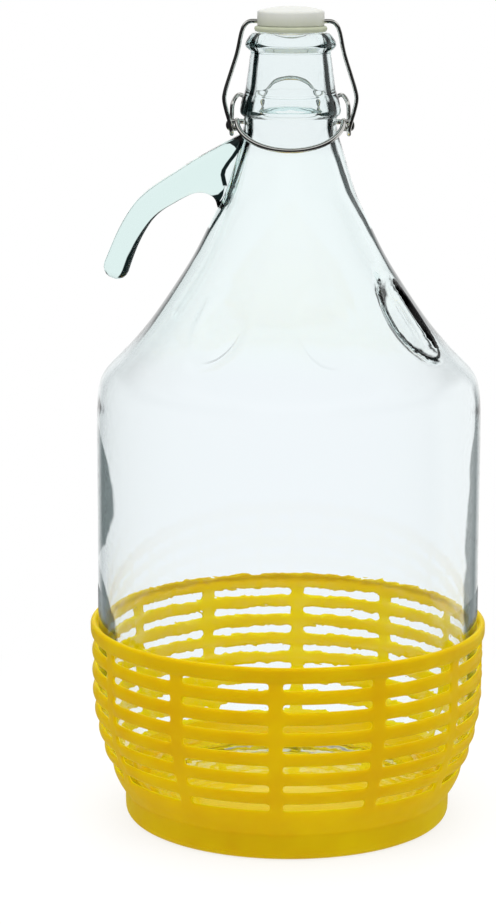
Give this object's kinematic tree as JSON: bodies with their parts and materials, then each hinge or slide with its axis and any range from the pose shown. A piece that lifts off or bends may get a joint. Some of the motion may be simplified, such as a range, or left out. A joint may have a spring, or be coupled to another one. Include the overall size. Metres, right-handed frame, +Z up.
{
  "type": "demijohn",
  "caption": "Clear glass demijohn with a hook handle and a wire swing stopper, standing in an open lattice plastic basket.",
  "frame": {"origin": "on the ground under the bottle's axis", "axes": "+Z up along the bottle's axis, -Y the front with the closing lever, -X the side with the handle"},
  "size_m": [0.175, 0.175, 0.358],
  "materials": {
    "basket_yellow": "soft satin gloss of moulded polyethylene",
    "clear_glass": "clear glass with a faint green tint",
    "stopper_white": "satin white",
    "gasket_cream": "matt soft rubber",
    "wire_steel": "bright drawn wire"
  },
  "bodies": {
    "basket_body": {"basket": "basket_yellow"},
    "bottle_body": {"glass_bottle": "clear_glass", "glass_handle": "clear_glass"},
    "lever_body": {"lever_wire": "wire_steel"},
    "bail_body": {"stopper_bail": "wire_steel"},
    "stopper_body": {"stopper_head": "stopper_white", "stopper_gasket": "gasket_cream"}
  },
  "joints": [
    {"name": "bottle_lift", "type": "slide", "parent": "basket_body", "child": "bottle_body", "axis": [0, 0, 1], "range_m": [0, 0.11]},
    {"name": "lever_swing", "type": "hinge", "parent": "bottle_body", "child": "lever_body", "pos_m": [0, 0, 0.3088], "axis": [-1, 0, 0], "range_deg": [0, 55]},
    {"name": "bail_swing", "type": "hinge", "parent": "lever_body", "child": "bail_body", "pos_m": [0, 0, 0.3058], "axis": [-1, 0, 0], "range_deg": [-52, 0]},
    {"name": "stopper_tilt", "type": "hinge", "parent": "bail_body", "child": "stopper_body", "pos_m": [0, 0, 0.3516], "axis": [-1, 0, 0], "range_deg": [-3.5, 0]}
  ],
  "couplings": [
    {"joint": "bail_swing", "follows": "lever_swing", "ratio": -0.9413},
    {"joint": "stopper_tilt", "follows": "lever_swing", "ratio": -0.0587}
  ]
}
